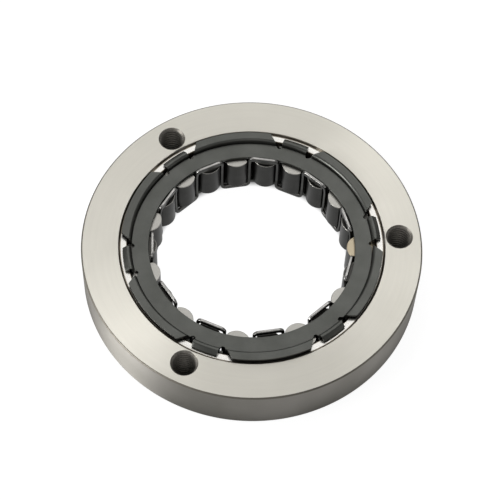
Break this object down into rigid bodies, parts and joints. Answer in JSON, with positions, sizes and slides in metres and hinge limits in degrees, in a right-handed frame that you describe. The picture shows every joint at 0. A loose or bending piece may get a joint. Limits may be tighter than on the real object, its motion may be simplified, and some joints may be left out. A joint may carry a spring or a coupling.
{
  "type": "starter clutch",
  "caption": "One-way sprag clutch: bolted steel outer ring with a double cage, a ribbon spring and rocking sprags around an open hub space.",
  "frame": {"origin": "centre of the outer ring's underside", "axes": "+Z along the clutch axis towards the face with the cage flange; +X through the first tapped hole"},
  "size_m": [0.1, 0.1, 0.0163],
  "materials": {
    "ring_steel": "ground satin",
    "cage_sheet": "dark phosphate",
    "ribbon_steel": "spring steel, dull",
    "sprag_steel": "hardened, ground ends"
  },
  "bodies": {
    "ring": {"housing": "ring_steel"},
    "cage_set": {"outer_cage": "cage_sheet", "inner_cage": "cage_sheet", "ribbon_spring": "ribbon_steel"},
    "sprag_01": {"sprag_01": "sprag_steel"},
    "sprag_02": {"sprag_02": "sprag_steel"},
    "sprag_03": {"sprag_03": "sprag_steel"},
    "sprag_04": {"sprag_04": "sprag_steel"},
    "sprag_05": {"sprag_05": "sprag_steel"},
    "sprag_06": {"sprag_06": "sprag_steel"},
    "sprag_07": {"sprag_07": "sprag_steel"},
    "sprag_08": {"sprag_08": "sprag_steel"},
    "sprag_09": {"sprag_09": "sprag_steel"},
    "sprag_10": {"sprag_10": "sprag_steel"},
    "sprag_11": {"sprag_11": "sprag_steel"},
    "sprag_12": {"sprag_12": "sprag_steel"},
    "sprag_13": {"sprag_13": "sprag_steel"},
    "sprag_14": {"sprag_14": "sprag_steel"},
    "sprag_15": {"sprag_15": "sprag_steel"},
    "sprag_16": {"sprag_16": "sprag_steel"},
    "sprag_17": {"sprag_17": "sprag_steel"},
    "sprag_18": {"sprag_18": "sprag_steel"},
    "sprag_19": {"sprag_19": "sprag_steel"},
    "sprag_20": {"sprag_20": "sprag_steel"},
    "sprag_21": {"sprag_21": "sprag_steel"},
    "sprag_22": {"sprag_22": "sprag_steel"}
  },
  "joints": [
    {"name": "cage_spin", "type": "hinge", "parent": "ring", "child": "cage_set", "pos_m": [0, 0, 0], "axis": [0, 0, 1], "continuous": true},
    {"name": "sprag_01_rock", "type": "hinge", "parent": "cage_set", "child": "sprag_01", "pos_m": [0.03124, 0.00761, 0.0078], "axis": [0, 0, 1], "range_deg": [0, 4], "stiffness_Nm_per_rad": 0.002},
    {"name": "sprag_02_rock", "type": "hinge", "parent": "cage_set", "child": "sprag_02", "pos_m": [0.02782, 0.01611, 0.0078], "axis": [0, 0, 1], "range_deg": [0, 4], "stiffness_Nm_per_rad": 0.002},
    {"name": "sprag_03_rock", "type": "hinge", "parent": "cage_set", "child": "sprag_03", "pos_m": [0.02216, 0.02329, 0.0078], "axis": [0, 0, 1], "range_deg": [0, 4], "stiffness_Nm_per_rad": 0.002},
    {"name": "sprag_04_rock", "type": "hinge", "parent": "cage_set", "child": "sprag_04", "pos_m": [0.0147, 0.02859, 0.0078], "axis": [0, 0, 1], "range_deg": [0, 4], "stiffness_Nm_per_rad": 0.002},
    {"name": "sprag_05_rock", "type": "hinge", "parent": "cage_set", "child": "sprag_05", "pos_m": [0.00605, 0.03158, 0.0078], "axis": [0, 0, 1], "range_deg": [0, 4], "stiffness_Nm_per_rad": 0.002},
    {"name": "sprag_06_rock", "type": "hinge", "parent": "cage_set", "child": "sprag_06", "pos_m": [-0.00309, 0.032, 0.0078], "axis": [0, 0, 1], "range_deg": [0, 4], "stiffness_Nm_per_rad": 0.002},
    {"name": "sprag_07_rock", "type": "hinge", "parent": "cage_set", "child": "sprag_07", "pos_m": [-0.01198, 0.02983, 0.0078], "axis": [0, 0, 1], "range_deg": [0, 4], "stiffness_Nm_per_rad": 0.002},
    {"name": "sprag_08_rock", "type": "hinge", "parent": "cage_set", "child": "sprag_08", "pos_m": [-0.0199, 0.02525, 0.0078], "axis": [0, 0, 1], "range_deg": [0, 4], "stiffness_Nm_per_rad": 0.002},
    {"name": "sprag_09_rock", "type": "hinge", "parent": "cage_set", "child": "sprag_09", "pos_m": [-0.02621, 0.01862, 0.0078], "axis": [0, 0, 1], "range_deg": [0, 4], "stiffness_Nm_per_rad": 0.002},
    {"name": "sprag_10_rock", "type": "hinge", "parent": "cage_set", "child": "sprag_10", "pos_m": [-0.03039, 0.01048, 0.0078], "axis": [0, 0, 1], "range_deg": [0, 4], "stiffness_Nm_per_rad": 0.002},
    {"name": "sprag_11_rock", "type": "hinge", "parent": "cage_set", "child": "sprag_11", "pos_m": [-0.03212, 0.00149, 0.0078], "axis": [0, 0, 1], "range_deg": [0, 4], "stiffness_Nm_per_rad": 0.002},
    {"name": "sprag_12_rock", "type": "hinge", "parent": "cage_set", "child": "sprag_12", "pos_m": [-0.03124, -0.00761, 0.0078], "axis": [0, 0, 1], "range_deg": [0, 4], "stiffness_Nm_per_rad": 0.002},
    {"name": "sprag_13_rock", "type": "hinge", "parent": "cage_set", "child": "sprag_13", "pos_m": [-0.02782, -0.01611, 0.0078], "axis": [0, 0, 1], "range_deg": [0, 4], "stiffness_Nm_per_rad": 0.002},
    {"name": "sprag_14_rock", "type": "hinge", "parent": "cage_set", "child": "sprag_14", "pos_m": [-0.02216, -0.02329, 0.0078], "axis": [0, 0, 1], "range_deg": [0, 4], "stiffness_Nm_per_rad": 0.002},
    {"name": "sprag_15_rock", "type": "hinge", "parent": "cage_set", "child": "sprag_15", "pos_m": [-0.0147, -0.02859, 0.0078], "axis": [0, 0, 1], "range_deg": [0, 4], "stiffness_Nm_per_rad": 0.002},
    {"name": "sprag_16_rock", "type": "hinge", "parent": "cage_set", "child": "sprag_16", "pos_m": [-0.00605, -0.03158, 0.0078], "axis": [0, 0, 1], "range_deg": [0, 4], "stiffness_Nm_per_rad": 0.002},
    {"name": "sprag_17_rock", "type": "hinge", "parent": "cage_set", "child": "sprag_17", "pos_m": [0.00309, -0.032, 0.0078], "axis": [0, 0, 1], "range_deg": [0, 4], "stiffness_Nm_per_rad": 0.002},
    {"name": "sprag_18_rock", "type": "hinge", "parent": "cage_set", "child": "sprag_18", "pos_m": [0.01198, -0.02983, 0.0078], "axis": [0, 0, 1], "range_deg": [0, 4], "stiffness_Nm_per_rad": 0.002},
    {"name": "sprag_19_rock", "type": "hinge", "parent": "cage_set", "child": "sprag_19", "pos_m": [0.0199, -0.02525, 0.0078], "axis": [0, 0, 1], "range_deg": [0, 4], "stiffness_Nm_per_rad": 0.002},
    {"name": "sprag_20_rock", "type": "hinge", "parent": "cage_set", "child": "sprag_20", "pos_m": [0.02621, -0.01862, 0.0078], "axis": [0, 0, 1], "range_deg": [0, 4], "stiffness_Nm_per_rad": 0.002},
    {"name": "sprag_21_rock", "type": "hinge", "parent": "cage_set", "child": "sprag_21", "pos_m": [0.03039, -0.01048, 0.0078], "axis": [0, 0, 1], "range_deg": [0, 4], "stiffness_Nm_per_rad": 0.002},
    {"name": "sprag_22_rock", "type": "hinge", "parent": "cage_set", "child": "sprag_22", "pos_m": [0.03212, -0.00149, 0.0078], "axis": [0, 0, 1], "range_deg": [0, 4], "stiffness_Nm_per_rad": 0.002}
  ],
  "couplings": [
    {"joint": "sprag_02_rock", "follows": "sprag_01_rock", "ratio": 1},
    {"joint": "sprag_03_rock", "follows": "sprag_01_rock", "ratio": 1},
    {"joint": "sprag_04_rock", "follows": "sprag_01_rock", "ratio": 1},
    {"joint": "sprag_05_rock", "follows": "sprag_01_rock", "ratio": 1},
    {"joint": "sprag_06_rock", "follows": "sprag_01_rock", "ratio": 1},
    {"joint": "sprag_07_rock", "follows": "sprag_01_rock", "ratio": 1},
    {"joint": "sprag_08_rock", "follows": "sprag_01_rock", "ratio": 1},
    {"joint": "sprag_09_rock", "follows": "sprag_01_rock", "ratio": 1},
    {"joint": "sprag_10_rock", "follows": "sprag_01_rock", "ratio": 1},
    {"joint": "sprag_11_rock", "follows": "sprag_01_rock", "ratio": 1},
    {"joint": "sprag_12_rock", "follows": "sprag_01_rock", "ratio": 1},
    {"joint": "sprag_13_rock", "follows": "sprag_01_rock", "ratio": 1},
    {"joint": "sprag_14_rock", "follows": "sprag_01_rock", "ratio": 1},
    {"joint": "sprag_15_rock", "follows": "sprag_01_rock", "ratio": 1},
    {"joint": "sprag_16_rock", "follows": "sprag_01_rock", "ratio": 1},
    {"joint": "sprag_17_rock", "follows": "sprag_01_rock", "ratio": 1},
    {"joint": "sprag_18_rock", "follows": "sprag_01_rock", "ratio": 1},
    {"joint": "sprag_19_rock", "follows": "sprag_01_rock", "ratio": 1},
    {"joint": "sprag_20_rock", "follows": "sprag_01_rock", "ratio": 1},
    {"joint": "sprag_21_rock", "follows": "sprag_01_rock", "ratio": 1},
    {"joint": "sprag_22_rock", "follows": "sprag_01_rock", "ratio": 1}
  ]
}
